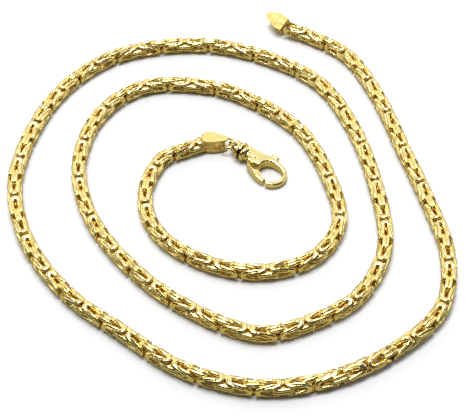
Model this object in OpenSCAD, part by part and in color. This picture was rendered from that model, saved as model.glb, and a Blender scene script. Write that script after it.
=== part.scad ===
/* [Chain] */
// Width and height of the linked chain across its faces
chain_w = 2.5; // [2:0.1:3]

/* [End caps] */
// Length of the box that grips the last links
collar_l = 2; // [1.2:0.1:2.4]
// Widest part of the leaf-shaped plates
leaf_w = 2.8; // [2.6:0.1:3.4]
// Length of the plates, from the back of the box to the tip
leaf_l = 4.1; // [3.9:0.1:4.2]
// Height over both plates
cap_h = 2.2; // [1.9:0.1:2.4]
// Width of the blunt tip of the plates
leaf_tip_w = 0.7; // [0.5:0.1:0.9]
// Thickness of each plate
leaf_t = 0.35; // [0.2:0.05:0.5]
// Diameter of the post between the plates
post_d = 0.6; // [0.4:0.05:0.8]
// Distance of the post from the back of the box
post_at = 3.4; // [3.4:0.05:3.6]
// Gap between the chain's end and the box
cap_gap = 0.05; // [0.02:0.01:0.1]
// How far the clasp's cap is rolled forward, in degrees
clasp_cap_roll = 8; // [0:1:12]
// How far the free end's cap is rolled over on its side, in degrees
free_cap_roll = 30; // [0:1:45]

/* [Jump ring] */
// Inner diameter
ring_bore = 2.05; // [2:0.05:2.3]
// Wire diameter
ring_wire = 0.4; // [0.3:0.05:0.5]

/* [Swivel base] */
// Diameter of the rim that faces the claw
bell_rim_d = 3; // [2.6:0.1:3.4]
// Diameter of the narrow waist
bell_waist_d = 2.1; // [1.8:0.1:2.4]
// Straight band at the rim
bell_band = 0.35; // [0.2:0.05:0.6]
// Length of the flare from the band to the waist
bell_flare = 1.1; // [0.9:0.1:1.4]
// Distance from the rim's face to the middle of the eye
eye_at = 2; // [1.9:0.05:2.4]
// Diameter of the hole in the eye
eye_bore = 1; // [0.95:0.05:1.1]
// Metal round the hole in the eye
eye_wall = 0.3; // [0.2:0.05:0.35]
// Thickness of the eye
eye_t = 0.7; // [0.5:0.05:0.8]

/* [Swivel stem] */
// Diameter of the stem that turns in the base
stem_d = 0.8; // [0.6:0.05:1]
// Diameter of the stem's head inside the base
head_d = 1.15; // [1.1:0.05:1.25]
// Length of the stem's head
head_l = 0.35; // [0.25:0.05:0.45]
// Wall of the base that the stem passes through
stem_wall = 0.35; // [0.25:0.05:0.5]
// Running gap round the stem and its head
stem_gap = 0.06; // [0.04:0.01:0.1]
// Gap between the base's rim and the neck of the claw
rim_gap = 0.2; // [0.1:0.05:0.3]

/* [Claw] */
// Diameter of the rounded neck
neck_d = 2.8; // [2.4:0.1:3]
// Length of the rounded neck
neck_l = 0.9; // [0.7:0.1:1.1]
// Diameter of the throat between the neck and the cheeks
throat_d = 1.7; // [1.4:0.1:1.8]
// Distance from the rim's face to the back of the claw's opening
hole_at = 4.3; // [4:0.1:4.8]
// Length of the opening
hole_l = 4.1; // [3.8:0.1:4.6]
// Width of the opening
hole_w = 3.3; // [3:0.1:3.7]
// Width of the hook round the opening, seen from above
hook_w = 0.8; // [0.6:0.05:1]
// Thickness of the cheeks
cheek_t = 1.9; // [1.7:0.1:2.2]
// Thickness of the hook at its far end
hook_t = 1; // [0.9:0.1:1.4]
// Where the hook's tip ends on its round, in degrees
hook_tip = -76; // [-84:1:-70]

/* [Lever] */
// Diameter of the rivet
rivet_d = 0.7; // [0.5:0.05:0.8]
// Running gap round the rivet
rivet_gap = 0.04; // [0.03:0.01:0.08]
// Diameter of the lever's hub
hub_d = 1.5; // [1.4:0.1:1.7]
// Thickness of the lever's hub and arm inside the slot
tongue_t = 0.7; // [0.5:0.05:0.8]
// Gap on each side of the tongue in its slot
slot_gap = 0.08; // [0.05:0.01:0.12]
// Thickness of the gate
gate_t = 1.2; // [1:0.1:1.4]
// Width of the arm that joins the hub to the thumb nub
arm_w = 0.9; // [0.7:0.05:1]
// Width of the root that joins the hub to the gate
root_w = 0.8; // [0.6:0.05:0.9]
// Gap between the gate and the hook's tip
gate_gap = 0.12; // [0.1:0.01:0.2]
// Height of the thumb nub over the claw's edge
nub_h = 0.8; // [0.6:0.05:1]
// Length of the thumb nub
nub_l = 1.3; // [1:0.1:1.5]
// How far the gate opens, in degrees
gate_opens = 20; // [10:1:22]

/* [Hidden] */
$fn = 48;

gold = [0.83, 0.68, 0.22];
pale_gold = [0.9, 0.78, 0.36];
eps = 0.01;

// The chain lies in an open spiral on the surface. These are points on its middle line,
// from the clasp outwards to the free end.
route = [
    [-5, 10.6], [-11.5, 6.5], [-14, -1.5], [-11.5, -9.5], [-4.5, -15], [4, -17],
    [12, -14.5], [16.5, -8], [16, 0.5], [11.5, 12.5], [3, 20.5], [-5.5, 24],
    [-15.5, 23.5], [-22.5, 16.5], [-25, 5.5], [-22.5, -5.5], [-16.5, -15], [-8, -23],
    [3, -28.5], [11.5, -26.5], [19, -21.5], [23.5, -12], [23, 0.5], [20, 14],
    [14.5, 25], [4, 32], [-7, 34.5], [-19.5, 32], [-28, 24.5], [-33, 14],
    [-35, 1.5], [-32, -10.5], [-25, -21], [-16, -28.5], [-7, -35], [3.5, -38],
    [14, -36.5], [23.5, -31.5], [31, -24], [33, -13.5], [31, -2.5], [28, 9],
    [25, 20.5], [20.5, 31], [14, 36.5], [9.5, 38.8]
];
// The two chain nodes meet at this point of the route.
split = 23;
rings_per_span = 4;
sides = 8;

// Headings, seen from above and counted from +X: the clasp's cap, the jump ring,
// the clasp itself and the free end's cap.
cap_heading = -6;
ring_heading = -24;
clasp_heading = -44;
free_heading = 135;

function heading(a) = [cos(a), sin(a), 0];
function unit(v) = v / norm(v);

// A rolled cap lies on one long edge of its lower plate, which lifts the chain's end
// over the last span of the route.
axis_z = chain_w / 2;
last = len(route) - 1;
function cap_z(roll) = max(axis_z, sin(roll) * leaf_w / 2 + cos(roll) * cap_h / 2);
clasp_lift = cap_z(clasp_cap_roll) - axis_z;
free_lift = cap_z(free_cap_roll) - axis_z;
function ease(t) = t * t * (3 - 2 * t);
function ease_slope(t) = 6 * t * (1 - t);
function height(s) =
    axis_z + clasp_lift * ease(max(0, 1 - s)) + free_lift * ease(max(0, s - last + 1));
function climb(s) = free_lift * ease_slope(max(0, s - last + 1)) - clasp_lift * ease_slope(max(0, 1 - s));

// A spline runs through the points, and its ends point along the two caps.
way_in = heading(cap_heading + 180);
way_out = heading(free_heading);
function flat(p) = [p.x, p.y];
function stop(i) =
    i < 0 ? route[1] - 2 * norm(route[1] - route[0]) * flat(way_in)
    : i > last ? route[last - 1] + 2 * norm(route[last] - route[last - 1]) * flat(way_out)
    : route[i];
function along(a, b, c, d, t) =
    (2 * b + (c - a) * t + (2 * a - 5 * b + 4 * c - d) * t * t
    + (3 * b - a - 3 * c + d) * t * t * t) / 2;
function slope(a, b, c, d, t) =
    ((c - a) + 2 * (2 * a - 5 * b + 4 * c - d) * t + 3 * (3 * b - a - 3 * c + d) * t * t) / 2;
function span(s) = min(floor(s), last - 1);
function at(s) =
    let (i = span(s), p = along(stop(i - 1), stop(i), stop(i + 1), stop(i + 2), s - i))
    [p.x, p.y, height(s)];
function run_of(s) =
    let (i = span(s), v = slope(stop(i - 1), stop(i), stop(i + 1), stop(i + 2), s - i))
    unit([v.x, v.y, climb(s)]);

// The chain's section is a regular octagon that lies on a flat.
corner_r = chain_w / 2 / cos(180 / sides);
function ring(s) =
    let (
        run = run_of(s),
        left = unit([-run.y, run.x, 0]),
        up = cross(run, left)
    )
    [for (k = [0:sides - 1])
        let (a = (k + 0.5) * 360 / sides) at(s) + corner_r * (cos(a) * left + sin(a) * up)];

// Where the rings stand between two places on the route, both included.
function stations(first, past) =
    let (steps = round((past - first) * rings_per_span))
    [for (i = [0:steps]) first + (past - first) * i / steps];

// Half of the leaf's outline, as shares of its length and half width.
leaf_shape = [[0, 0.84], [0.12, 0.96], [0.3, 1], [0.55, 0.88], [0.8, 0.6], [0.95, 0.38]];
leaf_side = concat([for (p = leaf_shape) [p.x * leaf_l, p.y * leaf_w / 2]], [[leaf_l, leaf_tip_w / 2]]);
leaf_outline = concat(leaf_side, [for (i = [len(leaf_side) - 1:-1:0]) [leaf_side[i].x, -leaf_side[i].y]]);
function free_corner(p, z) =
    at(last) + (cap_gap + p.x) * way_out
    + (p.y * cos(free_cap_roll) + z * sin(free_cap_roll)) * heading(free_heading + 90);

// The whole lie is centred on the origin.
skin = concat(
    [for (s = stations(0, last)) each ring(s)],
    [for (p = leaf_outline, z = [-cap_h / 2, cap_h / 2]) free_corner(p, z)]
);
low = [min([for (p = skin) p.x]), min([for (p = skin) p.y])];
high = [max([for (p = skin) p.x]), max([for (p = skin) p.y])];
centre = [(low.x + high.x) / 2, (low.y + high.y) / 2, 0];

// The clasp hangs on the cap's post: post, jump ring, eye, rim and claw follow each other.
ring_play = 0.1;
ring_r = (ring_bore + ring_wire) / 2;
ring_reach = ring_r + ring_bore / 2 - post_d / 2 - ring_play;
hole_r = hole_w / 2;
claw_half_w = hole_r + hook_w;
front_x = hole_at + hole_l - hole_r;
claw_l = front_x + claw_half_w;
rim_z = bell_rim_d / 2;
clasp_dip = asin((rim_z - hook_t / 2) / claw_l);
post_place = at(0) + (cap_gap + post_at) * heading(cap_heading);
eye_z = rim_z + eye_at * sin(clasp_dip);
ring_rise = asin((eye_z - post_place.z) / ring_reach);
eye_place = post_place + ring_reach * (cos(ring_rise) * heading(ring_heading) + [0, 0, sin(ring_rise)]);
rim_place = eye_place + eye_at * (cos(clasp_dip) * heading(clasp_heading) - [0, 0, sin(clasp_dip)]);
ring_place = eye_place
    - ring_r * (cos(ring_rise) * heading(ring_heading) + [0, 0, sin(ring_rise)]);

module centred() {
    translate(-centre) children();
}

// In the clasp's own frame X runs from the rim to the hook's far end.
module on_clasp() {
    centred() translate(rim_place) rotate([0, clasp_dip, clasp_heading]) children();
}

// A cylinder on the clasp's axis.
module pin(from, h, d) {
    translate([from, 0, 0]) rotate([0, 90, 0]) cylinder(h = h, d = d);
}

module tube(first, past) {
    spots = stations(first, past);
    count = len(spots);
    points = [for (s = spots) each ring(s)];
    walls = [for (i = [0:count - 2], k = [0:sides - 1])
        let (a = i * sides + k, b = i * sides + (k + 1) % sides)
        each [[a, b, b + sides], [a, b + sides, a + sides]]];
    ends = [
        [for (k = [sides - 1:-1:0]) k],
        [for (k = [0:sides - 1]) (count - 1) * sides + k]
    ];
    centred() polyhedron(points, concat(walls, ends), 10);
}

module chain_inner() {
    color(gold) tube(0, split);
}

module chain_outer() {
    color(gold) tube(split, last);
}

// A box with two leaf-shaped plates that go on past it, and a post near their tips.
module cap() {
    color(pale_gold) translate([cap_gap, 0, 0]) {
        translate([0, -chain_w / 2, -cap_h / 2]) cube([collar_l, chain_w, cap_h]);
        for (z = [-cap_h / 2, cap_h / 2 - leaf_t]) {
            translate([0, 0, z]) linear_extrude(leaf_t) polygon(leaf_outline);
        }
        translate([post_at, 0, -cap_h / 2]) cylinder(h = cap_h, d = post_d);
    }
}

module cap_clasp() {
    centred() translate(at(0)) rotate([-clasp_cap_roll, 0, cap_heading]) cap();
}

module cap_free() {
    centred() translate(at(last)) rotate([-free_cap_roll, 0, free_heading]) cap();
}

module jump_ring() {
    color(gold) centred() translate(ring_place) rotate([0, -ring_rise, ring_heading])
        rotate_extrude() translate([ring_r, 0]) circle(d = ring_wire, $fn = 24);
}

module turned(outline) {
    rotate([0, 90, 0]) rotate_extrude() polygon(outline);
}

// A bell with an eye at its narrow end, hollowed for the stem and its head.
module swivel_base() {
    rim_r = bell_rim_d / 2;
    waist_r = bell_waist_d / 2;
    flare = [for (a = [0:15:90])
        [rim_r - (rim_r - waist_r) * sin(a), bell_flare * (cos(a) - 1) - bell_band]];
    back = [[waist_r, eye_wall - eye_at], [0, eye_wall - eye_at]];
    chamber_l = head_l + 2 * stem_gap;
    lug_r = eye_bore / 2 + eye_wall;
    lug_l = eye_at - bell_band - bell_flare;
    color(pale_gold) on_clasp() difference() {
        union() {
            turned(concat([[0, 0], [rim_r, 0]], flare, back));
            translate([-eye_at, 0, 0]) rotate([90, 0, 0]) cylinder(h = eye_t, r = lug_r, center = true);
            translate([-eye_at, -eye_t / 2, -lug_r]) cube([lug_l, eye_t, 2 * lug_r]);
        }
        pin(-stem_wall, stem_wall + eps, stem_d + 2 * stem_gap);
        pin(-stem_wall - chamber_l, chamber_l, head_d + 2 * stem_gap);
        translate([-eye_at, 0, 0]) rotate([90, 0, 0]) cylinder(h = eye_t + 1, d = eye_bore, center = true);
    }
}

// The claw's neck, stem and head, turned on the clasp's axis.
module neck() {
    neck_r = neck_d / 2;
    bead_arc = 60;
    bead = [for (a = [-bead_arc:20:bead_arc])
        [neck_r - neck_l / 2 * (1 - cos(a)), rim_gap + neck_l / 2 * (1 + sin(a) / sin(bead_arc))]];
    turned(concat([[0, rim_gap]], bead, [[0, rim_gap + neck_l]]));
    pin(rim_gap, slot_from - slot_gap - rim_gap, throat_d);
    pin(-stem_wall - 2 * stem_gap, stem_wall + 2 * stem_gap + rim_gap + eps, stem_d);
    pin(-stem_wall - stem_gap - head_l, head_l, head_d);
}

module oval(r) {
    translate([hole_at + hole_r, 0]) circle(r);
    translate([front_x, 0]) circle(r);
    translate([hole_at + hole_r, -r]) square([front_x - hole_at - hole_r, 2 * r]);
}

// The cheeks' outline, as shares of the distance to the opening and of the claw's half width.
cheek_shape = [
    [0.48, -0.44], [0.84, -0.31], [1.1, -0.1], [1.5, 0.6], [1.5, 0.99],
    [1.1, 0.98], [0.9, 0.9], [0.7, 0.74], [0.42, 0.61], [0.14, 0.57]
];

// The claw seen from above: cheeks, and a hook that goes round the opening to its tip.
module claw_plan() {
    difference() {
        union() {
            polygon([for (p = cheek_shape) [p.x * hole_at, p.y * claw_half_w]]);
            difference() {
                oval(claw_half_w);
                polygon([
                    [0, 2 * claw_half_w], [hole_at, 2 * claw_half_w], [hole_at + hole_r, 0], [front_x, 0],
                    [front_x, 0] + 2 * claw_half_w * [cos(hook_tip), sin(hook_tip)], [0, -2 * claw_half_w]
                ]);
            }
        }
        oval(hole_r);
    }
}

// Where the lever turns, and the points that its arm and its root run to.
pivot = [0.6 * hole_at, -0.18 * claw_half_w];
nub_at = [1.1 * hole_at, claw_half_w];
root_at = [0.7 * hole_at, -0.6 * claw_half_w];
overtravel = 2;
slot_t = tongue_t + 2 * slot_gap;
slot_r = hub_d / 2 + slot_gap;
slot_from = pivot.x - slot_r;
nub_reach = norm(nub_at - pivot);
root_reach = norm(root_at - pivot);

// A bar from the pivot towards a point.
module spoke(to, reach, w) {
    translate(pivot) rotate(atan2(to.y - pivot.y, to.x - pivot.x)) translate([0, -w / 2]) square([reach, w]);
}

module about_pivot(a) {
    translate(pivot) rotate(a) translate(-pivot) children();
}

// The space that a spoke of the lever passes over as the gate opens.
module sweep(to, reach, w) {
    from = atan2(to.y - pivot.y, to.x - pivot.x);
    for (a = [0, gate_opens + overtravel]) {
        about_pivot(a) spoke(to, reach, w);
    }
    polygon([
        pivot,
        for (i = [0:4]) let (a = from + (gate_opens + overtravel) * i / 4) pivot + reach * [cos(a), sin(a)]
    ]);
}

// Room for the hub, the arm and the gate's root.
module slot() {
    translate(pivot) circle(slot_r);
    sweep(nub_at, 2 * nub_reach, arm_w + 2 * slot_gap);
    sweep(root_at, root_reach + slot_gap, root_w + 2 * slot_gap);
}

module claw() {
    color(pale_gold) on_clasp() {
        neck();
        difference() {
            intersection() {
                linear_extrude(2 * cheek_t, center = true) claw_plan();
                rotate([90, 0, 0]) linear_extrude(4 * claw_half_w, center = true) polygon([
                    [0, -cheek_t / 2], [hole_at, -cheek_t / 2], [claw_l, -hook_t / 2],
                    [claw_l, hook_t / 2], [hole_at, cheek_t / 2], [0, cheek_t / 2]
                ]);
            }
            linear_extrude(slot_t, center = true) slot();
            translate(pivot) cylinder(h = 2 * cheek_t, d = rivet_d, center = true);
        }
    }
}

// The gate closes the claw between the cheeks and the hook's tip. Its end is an arc about the
// pivot, just short of the hook's inner corner.
hook_corner = [front_x, 0] + hole_r * [cos(hook_tip), sin(hook_tip)];
gate_r = norm(hook_corner - pivot) - gate_gap;
function gate_angle(y) = asin((y - pivot.y) / gate_r);
gate_outer = [[0.55, -0.6], [0.74, -0.76], [0.98, -0.91], [1.24, -1]];
gate_inner = [[1.4, -0.72], [1.24, -0.55], [1.1, -0.47], [0.98, -0.62], [0.8, -0.62], [0.64, -0.52]];

module gate() {
    outer_a = gate_angle(-claw_half_w);
    inner_a = gate_angle(-hole_r - gate_gap);
    tip = [for (i = [0:4]) let (a = outer_a + (inner_a - outer_a) * i / 4) pivot + gate_r * [cos(a), sin(a)]];
    polygon(concat(
        [for (p = gate_outer) [p.x * hole_at, p.y * claw_half_w]], tip,
        [for (p = gate_inner) [p.x * hole_at, p.y * claw_half_w]]
    ));
}

// The tongue in the slot joins the gate, the hub and the thumb nub.
module tongue() {
    translate(pivot) circle(d = hub_d);
    spoke(nub_at, nub_reach + 2 * slot_gap, arm_w);
    spoke(root_at, root_reach, root_w);
}

module lever() {
    color(pale_gold) on_clasp() difference() {
        union() {
            linear_extrude(gate_t, center = true) gate();
            linear_extrude(tongue_t, center = true) tongue();
            linear_extrude(gate_t, center = true) translate(nub_at + [-nub_l / 2, slot_gap])
                square([nub_l, nub_h - slot_gap]);
        }
        translate(pivot) cylinder(h = 2 * gate_t, d = rivet_d + 2 * rivet_gap, center = true);
    }
}

module rivet() {
    color(gold) on_clasp() translate(pivot) cylinder(h = cheek_t - 2 * slot_gap, d = rivet_d, center = true);
}

chain_inner();
chain_outer();
cap_clasp();
cap_free();
jump_ring();
swivel_base();
claw();
lever();
rivet();
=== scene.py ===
import math

import bpy
import numpy as np
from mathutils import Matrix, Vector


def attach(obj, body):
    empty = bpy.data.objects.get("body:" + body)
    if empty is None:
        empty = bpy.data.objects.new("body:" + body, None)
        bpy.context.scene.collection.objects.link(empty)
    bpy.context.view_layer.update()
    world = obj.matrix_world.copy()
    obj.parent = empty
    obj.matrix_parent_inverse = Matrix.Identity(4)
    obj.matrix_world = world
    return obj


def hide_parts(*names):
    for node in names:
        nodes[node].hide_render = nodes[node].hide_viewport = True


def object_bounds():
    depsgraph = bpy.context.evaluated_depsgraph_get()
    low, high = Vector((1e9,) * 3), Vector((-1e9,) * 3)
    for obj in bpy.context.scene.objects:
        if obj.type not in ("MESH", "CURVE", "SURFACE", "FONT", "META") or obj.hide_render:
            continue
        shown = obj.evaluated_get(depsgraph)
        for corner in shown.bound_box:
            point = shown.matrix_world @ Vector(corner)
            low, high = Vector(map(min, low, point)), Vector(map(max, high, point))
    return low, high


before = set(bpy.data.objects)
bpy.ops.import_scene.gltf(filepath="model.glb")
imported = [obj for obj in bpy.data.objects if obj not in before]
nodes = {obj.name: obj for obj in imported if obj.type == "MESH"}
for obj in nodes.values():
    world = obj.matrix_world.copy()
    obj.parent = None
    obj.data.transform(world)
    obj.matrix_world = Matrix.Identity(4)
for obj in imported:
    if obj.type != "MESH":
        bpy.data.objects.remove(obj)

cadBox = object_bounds()
mm = 0.001

# The camera looks down on the open spiral from the front.
cameraSpec = {
    "imageWidth": 466,
    "focalPixels": 1364,
    "sensor": 36,
    "place": (1.0 * mm, -148.5 * mm, 162.7 * mm),
    "lookDown": 48.5,            # degrees below the horizon
    "clip": (0.01, 10),
}


def makeCamera():
    lens = bpy.data.cameras.new("photoCamera")
    lens.sensor_width = cameraSpec["sensor"]
    lens.lens = cameraSpec["focalPixels"] / cameraSpec["imageWidth"] * cameraSpec["sensor"]
    lens.clip_start, lens.clip_end = cameraSpec["clip"]
    camera = bpy.data.objects.new("photoCamera", lens)
    camera.location = cameraSpec["place"]
    camera.rotation_euler = (math.radians(90 - cameraSpec["lookDown"]), 0, 0)
    bpy.context.scene.collection.objects.link(camera)
    bpy.context.scene.camera = camera


makeCamera()
print("camera made")

# The chain's middle line, from the clasp outwards to the free end, in metres. The same
# points, headings and lifts as the solid's, before the whole lie is centred.
route = np.array([
    [-0.005, 0.0106], [-0.0115, 0.0065], [-0.014, -0.0015], [-0.0115, -0.0095],
    [-0.0045, -0.015], [0.004, -0.017], [0.012, -0.0145], [0.0165, -0.008],
    [0.016, 0.0005], [0.0115, 0.0125], [0.003, 0.0205], [-0.0055, 0.024],
    [-0.0155, 0.0235], [-0.0225, 0.0165], [-0.025, 0.0055], [-0.0225, -0.0055],
    [-0.0165, -0.015], [-0.008, -0.023], [0.003, -0.0285], [0.0115, -0.0265],
    [0.019, -0.0215], [0.0235, -0.012], [0.023, 0.0005], [0.02, 0.014],
    [0.0145, 0.025], [0.004, 0.032], [-0.007, 0.0345], [-0.0195, 0.032],
    [-0.028, 0.0245], [-0.033, 0.014], [-0.035, 0.0015], [-0.032, -0.0105],
    [-0.025, -0.021], [-0.016, -0.0285], [-0.007, -0.035], [0.0035, -0.038],
    [0.014, -0.0365], [0.0235, -0.0315], [0.031, -0.024], [0.033, -0.0135],
    [0.031, -0.0025], [0.028, 0.009], [0.025, 0.0205], [0.0205, 0.031],
    [0.014, 0.0365], [0.0095, 0.0388],
])

lieSpec = {
    "axisHeight": 1.25 * mm,     # half the chain's width
    "claspHeading": 174,         # the way out of the chain at the clasp's cap, in degrees
    "freeHeading": 135,          # and at the free end's cap
    "claspRoll": 8,              # how far each cap is rolled over
    "freeRoll": 30,
    "capHeight": 2.2 * mm,
    "capWidth": 2.8 * mm,
    "split": 23,                 # the point where the two chain pieces meet
    "ringsPerSpan": 4,           # the solid's rings on each span of the route
    "fineSteps": 64,             # steps on each span when the length is measured
}


def ease(t):
    t = np.clip(t, 0, 1)
    return t * t * (3 - 2 * t)


def capLift(roll):
    # A rolled cap stands on its lower edge, whose depth below the cap's axis is half the width
    # x sine + half the height x cosine. The lift is what that has over the chain's half width.
    a = math.radians(roll)
    edge = math.sin(a) * lieSpec["capWidth"] / 2 + math.cos(a) * lieSpec["capHeight"] / 2
    return max(lieSpec["axisHeight"], edge) - lieSpec["axisHeight"]


def alongRoute(s):
    # uniform Catmull-Rom through the points, with one more point past each end along its cap
    last = len(route) - 1

    def past(end, inner, heading):
        a = math.radians(heading)
        return inner + 2 * np.linalg.norm(end - inner) * np.array([math.cos(a), math.sin(a)])

    points = np.vstack([
        past(route[0], route[1], lieSpec["claspHeading"]), route,
        past(route[last], route[last - 1], lieSpec["freeHeading"]),
    ])
    i = np.minimum(np.floor(s).astype(int), last - 1)
    t = (s - i)[:, None]
    a, b, c, d = points[i], points[i + 1], points[i + 2], points[i + 3]
    squared = (2 * a - 5 * b + 4 * c - d) * t**2
    cubed = (3 * b - a - 3 * c + d) * t**3
    flat = (2 * b + (c - a) * t + squared + cubed) / 2
    height = (lieSpec["axisHeight"] + capLift(lieSpec["claspRoll"]) * ease(1 - s)
              + capLift(lieSpec["freeRoll"]) * ease(s - last + 1))
    return np.column_stack([flat, height])


def lieShift():
    # The middle of the solid's own ring corners against the middle of the same rings here.
    # Corners that agree to a thousandth of a millimetre count once.
    vertices = nodes["chain_inner"].data.vertices
    corners = np.empty(3 * len(vertices))
    vertices.foreach_get("co", corners)
    corners = np.unique(np.round(corners.reshape(-1, 3) / mm, 3), axis=0) * mm
    perSpan = lieSpec["ringsPerSpan"]
    rings = alongRoute(np.arange(lieSpec["split"] * perSpan + 1) / perSpan)
    shift = corners.mean(0) - rings.mean(0)
    return np.array([shift[0], shift[1], 0])


def measureRoute():
    # places along the chain by arc length: position, heading and the two directions across
    s = np.arange((len(route) - 1) * lieSpec["fineSteps"] + 1) / lieSpec["fineSteps"]
    place = alongRoute(s) + lieShift()
    step = np.linalg.norm(np.diff(place, axis=0), axis=1)
    length = np.concatenate([[0], np.cumsum(step)])
    run = np.gradient(place, length, axis=0)
    run /= np.linalg.norm(run, axis=1, keepdims=True)
    side = np.column_stack([-run[:, 1], run[:, 0], np.zeros(len(run))])
    side /= np.linalg.norm(side, axis=1, keepdims=True)
    up = np.cross(run, side)
    return {"length": length, "place": place, "run": run, "side": side, "up": up,
            "split": length[lieSpec["split"] * lieSpec["fineSteps"]]}


lie = measureRoute()
print("route measured:", round(lie["length"][-1] / mm, 1), "mm")

# Byzantine links. Every knot has two spread links, two flanks folded back over them and two
# locks that hold the flanks. The next knot is the same, turned a quarter.
linkSpec = {
    "wire": 0.56 * mm,
    "innerLength": 2.6 * mm,
    "innerWidth": 1.14 * mm,
    "endSteps": 5,                   # pieces in each round end of a link
    "wireSides": 6,
    "halfPeriod": 4.2 * mm,          # from one knot to the next
    "spread": (1.055 * mm, 0.585 * mm, 10.5),   # along from the knot, out from the middle, lean
    "flank": (1.4 * mm, 0.66 * mm, 10),
    "lock": (-0.915 * mm, 0.25 * mm, 0),
    "gapPastKnot": 3.3 * mm,         # where a face shows its gap, past the knot of its flanks
    "press": 1.08,                   # the links' spread across before their outer sides are cut
    "flatFace": 1.22 * mm,           # the outer faces are cut flat at this height
    "flatCorner": 1.27 * mm,         # and the corners at this one
    "lockFill": 1.9,                 # how much thicker each kind is towards the inside of its loop
    "spreadFill": 1.4,
    "flankFill": 1.4,
    "fillShape": 0.7,                # 1 for a sloping inside, 0 for a block
    "square": 0.82,                  # the power that squares a link's ends, 1 for round ends
    "pinch": 0.14,                   # how much narrower a link's end at a gap is
    "poke": 0.25 * mm,               # how far the last links reach into the caps
    "play": 3.0,                     # how far a link may stand askew, in degrees
    "playSeed": 100,                 # of the knot numbered 0
    "toneSeed": 7,
    "knotsBefore": 4,                # knots tried past the ends, before the trim
    "knotsAfter": 8,
    "endClear": 0.3 * mm,            # links with their middle nearer to an end are left out
}
# The pace of the pattern: the nth gap in the top face lies at this length.
paceSpec = {
    "gap": (1, 20, 35, 43.5, 52.5),
    "at": (11.0 * mm, 171.6 * mm, 299.3 * mm, 371.2 * mm, 445.7 * mm),
    "before": 2,                     # gaps for which the first pace goes on before the first
    "after": 8,                      # and the last pace after the last
}
# Past the last bend but one the chain rolls a quarter turn, so its outward side comes up.
rollSpec = {"from": 376 * mm, "to": 413 * mm, "turn": -90}


def linkOutline(pinch):
    # Two half circles joined by straights, and the line's outward normal. On a half circle a point
    # is r x the normal with each part to the power "square". The width is then multiplied by
    # 1 - |pinch| x the way along, which goes from 0 at the back end to 1 at the front end, or the
    # other way round if pinch is below 0.
    r = (linkSpec["innerWidth"] + linkSpec["wire"]) / 2
    h = (linkSpec["innerLength"] + linkSpec["wire"]) / 2 - r
    a = np.radians(np.linspace(-90, 90, linkSpec["endSteps"] + 1))
    a = np.concatenate([a, a + math.pi])
    shift = np.repeat([h, -h], linkSpec["endSteps"] + 1)
    normal = np.column_stack([np.cos(a), np.sin(a)])
    ends = np.sign(normal) * np.abs(normal) ** linkSpec["square"] * r
    line = ends + np.column_stack([shift, 0 * shift])
    line[:, 1] *= 1 - abs(pinch) * (1 + np.sign(pinch) * line[:, 0] / (h + r)) / 2
    return line, normal


def ringPoints(centre, lengthWay, widthWay, fill, pinch):
    # Wire round the outline, in the plane of the two ways. Its outer side reaches cos(b) wire
    # radii out, and its inner side (1 + fill) x |cos(b)| to the power "fillShape" in.
    line, normal = linkOutline(pinch)
    thickWay = np.cross(lengthWay, widthWay)
    b = np.arange(linkSpec["wireSides"]) * 2 * math.pi / linkSpec["wireSides"]
    plane = np.array([lengthWay, widthWay])
    middle = centre + line @ plane
    out = normal @ plane
    thicker = np.abs(np.cos(b)) ** linkSpec["fillShape"] * (1 + fill)
    inwards = np.where(np.cos(b) < 0, -thicker, np.cos(b))
    wire = linkSpec["wire"] / 2 * (inwards[:, None] * out[:, None] + np.sin(b)[:, None] * thickWay)
    return (middle[:, None] + wire).reshape(-1, 3)


def askew(points, centres, seed):
    # every link turned a little about its own middle, by small angles about the three axes
    draw = np.random.default_rng(seed).uniform(-1, 1, (len(points), 3))
    angle = draw * math.radians(linkSpec["play"])
    fromMiddle = points - centres[:, None]
    return points + np.cross(angle[:, None], fromMiddle)


def knotRings():
    # The six links of one knot and their middles, in length along the chain, sideways and up.
    # The flanks lie on both sides of the middle line, the spread links and locks over and under it.
    rings, centres = [], []
    for name in ("spread", "flank", "lock"):
        ahead, out, lean = linkSpec[name]
        a = math.radians(lean)
        for sign in (1, -1):
            if name == "flank":
                centre = np.array([ahead, sign * out, 0])
                lengthWay = np.array([math.cos(a), sign * math.sin(a), 0])
                widthWay = np.array([0, 0, 1.0])
                pinch = linkSpec["pinch"]
            else:
                centre = np.array([ahead, 0, sign * out])
                lengthWay = np.array([math.cos(a), 0, -sign * math.sin(a)])
                widthWay = np.array([0, 1.0, 0])
                pinch = -linkSpec["pinch"] * (name == "spread")
            rings.append(ringPoints(centre, lengthWay, widthWay, linkSpec[name + "Fill"], pinch))
            centres.append(centre)
    return np.array(rings), np.array(centres)


def linkFaces():
    # quads between neighbouring sections, closed both ways round
    n, m = 2 * (linkSpec["endSteps"] + 1), linkSpec["wireSides"]
    i, j = np.meshgrid(np.arange(n), np.arange(m), indexing="ij")
    i2, j2 = (i + 1) % n, (j + 1) % m
    return np.stack([i * m + j, i2 * m + j, i2 * m + j2, i * m + j2], axis=-1).reshape(-1, 4)


def cutFlat(across):
    # the chain's faces and corners are cut flat: an octagon with its own reach on faces and corners
    c = np.clip(across, -linkSpec["flatFace"], linkSpec["flatFace"])
    reach = np.abs(c).sum(1) / math.sqrt(2)
    over = np.maximum(0, reach - linkSpec["flatCorner"]) / math.sqrt(2)
    return c - np.sign(c) * over[:, None]


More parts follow.
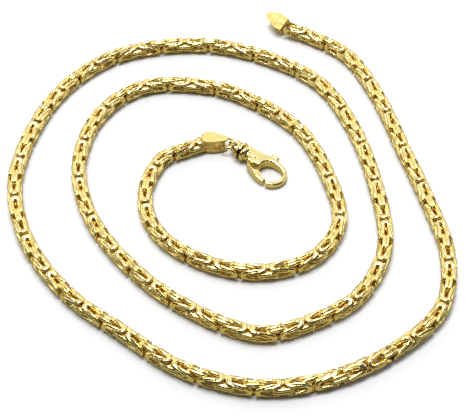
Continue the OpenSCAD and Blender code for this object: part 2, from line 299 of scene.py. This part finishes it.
def placeAlong(u, across):
    # points at length u along the chain and "across" from its middle line, rolled as the chain lies
    t = np.clip(u, 0, lie["length"][-1])

    def pick(key):
        return np.column_stack([np.interp(t, lie["length"], lie[key][:, k]) for k in range(3)])

    side, up = pick("side"), pick("up")
    rolled = (u - rollSpec["from"]) / (rollSpec["to"] - rollSpec["from"])
    roll = np.radians(rollSpec["turn"]) * ease(rolled)
    sideWay = across[:, 0] * np.cos(roll) - across[:, 1] * np.sin(roll)
    upWay = across[:, 0] * np.sin(roll) + across[:, 1] * np.cos(roll)
    point = (pick("place") + (u - t)[:, None] * pick("run")
             + sideWay[:, None] * side + upWay[:, None] * up)
    return np.clip(point, *cadBox)


def chainLinks():
    # all links as points (link, corner, 3) and the length where each one's middle lies
    knots, centres = knotRings()
    half = linkSpec["halfPeriod"]
    total = lie["length"][-1]
    gapShare = linkSpec["gapPastKnot"] / half / 2
    paceGap, paceAt = np.array(paceSpec["gap"]), np.array(paceSpec["at"])
    before, after = paceSpec["before"], paceSpec["after"]
    endPace = np.diff(paceAt)[[0, -1]] / np.diff(paceGap)[[0, -1]]
    paceGap = np.concatenate([[paceGap[0] - before], paceGap, [paceGap[-1] + after]])
    firstAt, lastAt = paceAt[0] - before * endPace[0], paceAt[-1] + after * endPace[1]
    paceAt = np.concatenate([[firstAt], paceAt, [lastAt]])
    pastLast = 2 * int(total / half / 2) + linkSpec["knotsAfter"]
    bodies, middles = [], []
    for k in range(-linkSpec["knotsBefore"], pastLast):
        points = askew(knots, centres, k + linkSpec["playSeed"])
        # even knots have their flanks above and below
        if k % 2 == 0:
            points = np.stack([points[..., 0], -points[..., 2], points[..., 1]], axis=-1)
        # the knot's number as gaps of the top face, then as a length
        number = k / 2 - gapShare + 1
        u = np.interp(number + points[..., 0] / half / 2, paceGap, paceAt)
        middle = np.interp(number + centres[:, 0] / half / 2, paceGap, paceAt)
        keep = (middle > linkSpec["endClear"]) & (middle < total - linkSpec["endClear"])
        points[..., 0] = np.clip(u, -linkSpec["poke"], total + linkSpec["poke"])
        bodies.append(points[keep])
        middles.append(middle[keep])
    return np.concatenate(bodies), np.concatenate(middles)


def meshOf(name, points, faces, flat=None):
    # faces of one number of corners each, smooth but for those that "flat" marks
    sides = faces.shape[1]
    mesh = bpy.data.meshes.new(name)
    mesh.vertices.add(len(points))
    mesh.vertices.foreach_set("co", points.astype(np.float32).ravel())
    mesh.loops.add(faces.size)
    mesh.loops.foreach_set("vertex_index", faces.astype(np.int32).ravel())
    mesh.polygons.add(len(faces))
    mesh.polygons.foreach_set("loop_start", np.arange(0, faces.size, sides, dtype=np.int32))
    mesh.polygons.foreach_set("loop_total", np.full(len(faces), sides, dtype=np.int32))
    mesh.update(calc_edges=True)
    mesh.validate()
    mesh.shade_smooth()
    if flat is not None:
        mesh.polygons.foreach_set("use_smooth", ~flat)
    piece = bpy.data.objects.new(name, mesh)
    bpy.context.scene.collection.objects.link(piece)
    return piece


def setAttribute(mesh, name, values):
    layer = mesh.attributes.new(name, "FLOAT", "POINT")
    layer.data.foreach_set("value", values.astype(np.float32))


def makeLinks(name, links, tone):
    count, corners = links.shape[:2]
    wide = linkSpec["press"] * links[..., 1:].reshape(-1, 2)
    across = cutFlat(wide)
    u = links[..., 0].reshape(-1)
    faces = (linkFaces()[None] + (np.arange(count) * corners)[:, None, None]).reshape(-1, 4)
    cut = np.abs(across - wide).max(1) > 0
    piece = meshOf(name, placeAlong(u, across), faces, cut[faces].all(1))
    # how far out from the chain's middle a point lies, 0 deep inside to 1 at its faces
    out = np.clip(np.hypot(across[:, 0], across[:, 1]) / linkSpec["flatFace"], 0, 1)
    setAttribute(piece.data, "outward", out)
    setAttribute(piece.data, "linkTone", np.repeat(tone, corners))
    return piece


links, middles = chainLinks()
tones = np.random.default_rng(linkSpec["toneSeed"]).random(len(links))
isInner = middles < lie["split"]
linksInner = makeLinks("links_inner", links[isInner], tones[isInner])
linksOuter = makeLinks("links_outer", links[~isInner], tones[~isInner])
print("links made:", len(links))


# Materials: warm yellow gold, polished, satin on the caps, dull in the chain's recesses, where
# shade is painted in a darker brown.
def newMaterial(name):
    material = bpy.data.materials.new(name)
    material.use_nodes = True
    tree = material.node_tree
    shader = tree.nodes["Principled BSDF"]
    shader.inputs["Metallic"].default_value = 1
    return material, tree, shader


def newGroup(name, inputs, output, kind):
    # the inputs are numbers, whose values each material gives
    group = bpy.data.node_groups.new(name, "ShaderNodeTree")
    for label in inputs:
        group.interface.new_socket(label, in_out="INPUT", socket_type="NodeSocketFloat")
    group.interface.new_socket(output, in_out="OUTPUT", socket_type=kind)
    return group, group.nodes.new("NodeGroupInput"), group.nodes.new("NodeGroupOutput")


def mathNode(tree, kind, *values):
    # a math node whose inputs are numbers or sockets
    node = tree.nodes.new("ShaderNodeMath")
    node.operation = kind
    for k, value in enumerate(values):
        if isinstance(value, (int, float)):
            node.inputs[k].default_value = value
        else:
            tree.links.new(value, node.inputs[k])
    return node.outputs[0]


def mixColour(tree, share, a, b):
    # inputs 6 and 7 and output 2 of a mix node are its colours
    node = tree.nodes.new("ShaderNodeMix")
    node.data_type = "RGBA"
    tree.links.new(share, node.inputs[0])
    for value, socket in ((a, node.inputs[6]), (b, node.inputs[7])):
        if isinstance(value, tuple):
            socket.default_value = value
        else:
            tree.links.new(value, socket)
    return node.outputs[2]


goldSpec = {
    "bright": (0.95, 0.8, 0.38, 1),
    "warm": (0.91, 0.71, 0.26, 1),
    "facetSoftness": 0.3,
    "wearDetail": 5,
}


def goldDrift():
    # colour = mix(bright, warm, noise(place x scale) x amount): the metal's slow change of tone
    group, inside, result = newGroup("gold_drift", ("Scale", "Amount"), "Colour", "NodeSocketColor")
    where = group.nodes.new("ShaderNodeTexCoord")
    noise = group.nodes.new("ShaderNodeTexNoise")
    group.links.new(where.outputs["Object"], noise.inputs["Vector"])
    group.links.new(inside.outputs["Scale"], noise.inputs["Scale"])
    share = mathNode(group, "MULTIPLY", noise.outputs["Fac"], inside.outputs["Amount"])
    colour = mixColour(group, share, goldSpec["bright"], goldSpec["warm"])
    group.links.new(colour, result.inputs["Colour"])
    return group


def smallFacets():
    # height = distance to the nearest of scattered points, softened: shallow dents of one size
    group, inside, result = newGroup("small_facets", ("Scale",), "Height", "NodeSocketFloat")
    where = group.nodes.new("ShaderNodeTexCoord")
    cells = group.nodes.new("ShaderNodeTexVoronoi")
    cells.feature = "SMOOTH_F1"
    cells.inputs["Smoothness"].default_value = goldSpec["facetSoftness"]
    group.links.new(where.outputs["Object"], cells.inputs["Vector"])
    group.links.new(inside.outputs["Scale"], cells.inputs["Scale"])
    group.links.new(cells.outputs["Distance"], result.inputs["Height"])
    return group


def fineWear():
    # roughness = base + spread x noise(place x scale) squared: soft rubs on the metal
    group, inside, result = newGroup("fine_wear", ("Base", "Spread", "Scale"),
                                     "Roughness", "NodeSocketFloat")
    where = group.nodes.new("ShaderNodeTexCoord")
    noise = group.nodes.new("ShaderNodeTexNoise")
    noise.inputs["Detail"].default_value = goldSpec["wearDetail"]
    group.links.new(where.outputs["Object"], noise.inputs["Vector"])
    group.links.new(inside.outputs["Scale"], noise.inputs["Scale"])
    squared = mathNode(group, "POWER", noise.outputs["Fac"], 2)
    rubs = mathNode(group, "MULTIPLY", squared, inside.outputs["Spread"])
    rough = mathNode(group, "ADD", inside.outputs["Base"], rubs)
    group.links.new(rough, result.inputs["Roughness"])
    return group


driftGroup, facetGroup, wearGroup = goldDrift(), smallFacets(), fineWear()


def useGroup(tree, group, values):
    # the group's one output, with these values on its inputs
    node = tree.nodes.new("ShaderNodeGroup")
    node.node_tree = group
    for label, value in values.items():
        node.inputs[label].default_value = value
    return node.outputs[0]


def addBump(tree, shader, height, strength, distance):
    bump = tree.nodes.new("ShaderNodeBump")
    bump.inputs["Strength"].default_value = strength
    bump.inputs["Distance"].default_value = distance
    tree.links.new(height, bump.inputs["Height"])
    tree.links.new(bump.outputs["Normal"], shader.inputs["Normal"])


linkGoldSpec = {
    "drift": {"Scale": 250, "Amount": 0.8},
    "ownTone": 0.5,                        # the most of the warm tone that a link can add
    "recessShade": (0.4, 0.85),                 # "outward" where a point is all recess, with full painted shade, and all face
    # painted shade: the darker brown that the chain's recesses are painted
    "recessShadeColour": (0.76, 0.48, 0.08, 1),
    "roughness": 0.23,
    "recessRoughness": 0.45,
    "recessMetal": 0.7,
    "facets": {"Scale": 2600},
    "bump": (0.18, 0.14 * mm),             # strength and distance
}


def goldLinks():
    # recessShade = smooth step down from 1 to 0 as "outward" goes through its two limits.
    # colour = mix(mix(drift, warm, link's tone x own tone), recess colour, recess shade): painted
    # shade in the chain's recesses. Roughness and metal = mix(the face's, the recess's, recess
    # shade).
    material, tree, shader = newMaterial("gold_links")
    out = tree.nodes.new("ShaderNodeAttribute")
    out.attribute_name = "outward"
    own = tree.nodes.new("ShaderNodeAttribute")
    own.attribute_name = "linkTone"
    fade = tree.nodes.new("ShaderNodeMapRange")
    fade.interpolation_type = "SMOOTHSTEP"
    full, none = linkGoldSpec["recessShade"]
    for label, value in (("From Min", full), ("From Max", none), ("To Min", 1), ("To Max", 0)):
        fade.inputs[label].default_value = value
    tree.links.new(out.outputs["Fac"], fade.inputs["Value"])
    # the share of painted shade, 1 deep inside the chain and 0 on its faces
    recessShade = fade.outputs["Result"]
    drift = useGroup(tree, driftGroup, linkGoldSpec["drift"])
    ownShare = mathNode(tree, "MULTIPLY", own.outputs["Fac"], linkGoldSpec["ownTone"])
    face = mixColour(tree, ownShare, drift, goldSpec["warm"])
    # painted shade: the recesses are painted a darker brown, deepest inside the chain
    colour = mixColour(tree, recessShade, face, linkGoldSpec["recessShadeColour"])
    tree.links.new(colour, shader.inputs["Base Color"])
    rougher = linkGoldSpec["recessRoughness"] - linkGoldSpec["roughness"]
    rough = mathNode(tree, "MULTIPLY_ADD", recessShade, rougher, linkGoldSpec["roughness"])
    tree.links.new(rough, shader.inputs["Roughness"])
    metal = mathNode(tree, "MULTIPLY_ADD", recessShade, linkGoldSpec["recessMetal"] - 1, 1)
    tree.links.new(metal, shader.inputs["Metallic"])
    facets = useGroup(tree, facetGroup, linkGoldSpec["facets"])
    addBump(tree, shader, facets, *linkGoldSpec["bump"])
    return material


capGoldSpec = {
    "drift": {"Scale": 500, "Amount": 1.0},
    "wear": {"Base": 0.5, "Spread": 0.4, "Scale": 900},
    "satin": (0.78, 0.62, 0.24, 1),
    "facets": {"Scale": 1000},
    "bump": (0.6, 0.25 * mm),
}


def goldCaps():
    # roughness = wear. colour = mix(drift, satin, roughness). Bump = small facets.
    material, tree, shader = newMaterial("gold_caps")
    drift = useGroup(tree, driftGroup, capGoldSpec["drift"])
    wear = useGroup(tree, wearGroup, capGoldSpec["wear"])
    colour = mixColour(tree, wear, drift, capGoldSpec["satin"])
    tree.links.new(colour, shader.inputs["Base Color"])
    tree.links.new(wear, shader.inputs["Roughness"])
    facets = useGroup(tree, facetGroup, capGoldSpec["facets"])
    addBump(tree, shader, facets, *capGoldSpec["bump"])
    return material


polishedSpec = {
    "drift": {"Scale": 300, "Amount": 0.6},
    "wear": {"Base": 0.12, "Spread": 0.06, "Scale": 2500},
}


def goldPolished():
    # colour = drift, roughness = wear, with no bump
    material, tree, shader = newMaterial("gold_polished")
    drift = useGroup(tree, driftGroup, polishedSpec["drift"])
    tree.links.new(drift, shader.inputs["Base Color"])
    wear = useGroup(tree, wearGroup, polishedSpec["wear"])
    tree.links.new(wear, shader.inputs["Roughness"])
    return material


linkGold, polishedGold, capGold = goldLinks(), goldPolished(), goldCaps()
for piece, node in ((linksInner, "chain_inner"), (linksOuter, "chain_outer")):
    piece.data.materials.append(linkGold)
    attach(piece, "necklace")
    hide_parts(node)
for node in ("cap_clasp", "cap_free"):
    nodes[node].material_slots[0].material = capGold
for node in ("jump_ring", "swivel_base", "claw", "lever", "rivet"):
    nodes[node].material_slots[0].material = polishedGold

# Soft edges: bevels on the turned and cut pieces, an even rounding on the cast claw and lever.
edgeSpec = {
    "bevel": {
        "cap_clasp": 0.12 * mm, "cap_free": 0.12 * mm,
        "swivel_base": 0.07 * mm, "rivet": 0.06 * mm,
    },
    "bevelSteps": 3,
    "bevelFrom": 35,             # edges that bend by more degrees than this are bevelled
    "weld": 0.001 * mm,          # points nearer than this are joined first
    "round": {"claw": (0.05 * mm, 150), "lever": (0.045 * mm, 90)},     # grain and passes
    "smoothing": 0.5,            # of each pass
    "puff": 0.018 * mm,          # some of what the rounding takes off is given back all round
}


def softenEdges():
    for name, width in edgeSpec["bevel"].items():
        weld = nodes[name].modifiers.new("weld", "WELD")
        weld.merge_threshold = edgeSpec["weld"]
        bevel = nodes[name].modifiers.new("bevel", "BEVEL")
        bevel.width = width
        bevel.segments = edgeSpec["bevelSteps"]
        bevel.limit_method = "ANGLE"
        bevel.angle_limit = math.radians(edgeSpec["bevelFrom"])
        bevel.harden_normals = True
    for name, (grain, passes) in edgeSpec["round"].items():
        remesh = nodes[name].modifiers.new("grain", "REMESH")
        remesh.mode = "VOXEL"
        remesh.voxel_size = grain
        remesh.use_smooth_shade = True
        smooth = nodes[name].modifiers.new("round", "SMOOTH")
        smooth.factor = edgeSpec["smoothing"]
        smooth.iterations = passes
        puff = nodes[name].modifiers.new("puff", "DISPLACE")
        puff.mid_level = 0
        puff.strength = edgeSpec["puff"]


softenEdges()
print("materials made")


# Floor, light and surroundings.
floorSpec = {
    "reach": 0.36,                     # from the middle to each side
    "shown": (0.88, 0.89, 0.91, 1),
    "mirrored": (0.44, 0.41, 0.24, 1),
    "roughness": 0.8,
}


def makeFloor():
    # Pale card. colour = mirrored for a glossy ray, shown for every other: the gold mirrors the
    # card darker than it is shown, as on a photo with a whitened ground.
    corners = np.array([[-1, -1, 0], [1, -1, 0], [1, 1, 0], [-1, 1, 0]]) * floorSpec["reach"]
    floor = meshOf("floor", corners, np.array([[0, 1, 2, 3]]))
    material, tree, shader = newMaterial("white_card")
    shader.inputs["Metallic"].default_value = 0
    path = tree.nodes.new("ShaderNodeLightPath")
    card = mixColour(tree, path.outputs["Is Glossy Ray"], floorSpec["shown"], floorSpec["mirrored"])
    tree.links.new(card, shader.inputs["Base Color"])
    shader.inputs["Roughness"].default_value = floorSpec["roughness"]
    floor.data.materials.append(material)


# Name: place, aim, width and height, power. The last one is there for the clasp's flat faces.
lightSpec = {
    "back_soft": ((0, 0.36, 0.26), (0, 0, 0.26), (2.1, 0.46), 3.35),
    "key_soft": ((-0.04, 0.05, 0.6), (0, 0, 0), (0.4, 0.25), 3.4),
    "left_soft": ((-0.5, 0.12, 0.3), (0, 0, 0), (0.4, 0.3), 0.55),
    "right_soft": ((0.5, 0.12, 0.3), (0, 0, 0), (0.4, 0.3), 0.45),
    "clasp_soft": ((0.122, 0.274, 0.52), (0, 0, 0), (0.24, 0.13), 0.1),
}


def makeLight(name, place, aim, size, power):
    lamp = bpy.data.lights.new(name, "AREA")
    lamp.shape = "RECTANGLE"
    lamp.size, lamp.size_y = size
    lamp.energy = power
    light = bpy.data.objects.new(name, lamp)
    light.location = place
    way = np.array(aim) - np.array(place)
    flat = math.hypot(way[0], way[1])
    light.rotation_euler = (math.atan2(flat, -way[2]), 0, math.atan2(way[1], way[0]) - math.pi / 2)
    bpy.context.scene.collection.objects.link(light)


makeFloor()
for name, spec in lightSpec.items():
    makeLight(name, *spec)

worldSpec = {"colour": (1, 1, 1, 1), "room": 0.07, "paper": 0.9}


def makeWorld():
    # Strength = room + paper for a camera ray, room for every other: a dark room for what the
    # gold mirrors, and pale paper where the camera looks past the floor.
    world = bpy.data.worlds.new("tent")
    world.use_nodes = True
    tree = world.node_tree
    path = tree.nodes.new("ShaderNodeLightPath")
    background = tree.nodes["Background"]
    background.inputs["Color"].default_value = worldSpec["colour"]
    strength = mathNode(tree, "MULTIPLY_ADD", path.outputs["Is Camera Ray"],
                        worldSpec["paper"], worldSpec["room"])
    tree.links.new(strength, background.inputs["Strength"])
    bpy.context.scene.world = world


makeWorld()
bpy.context.scene.view_settings.view_transform = "Standard"
print("stage made")
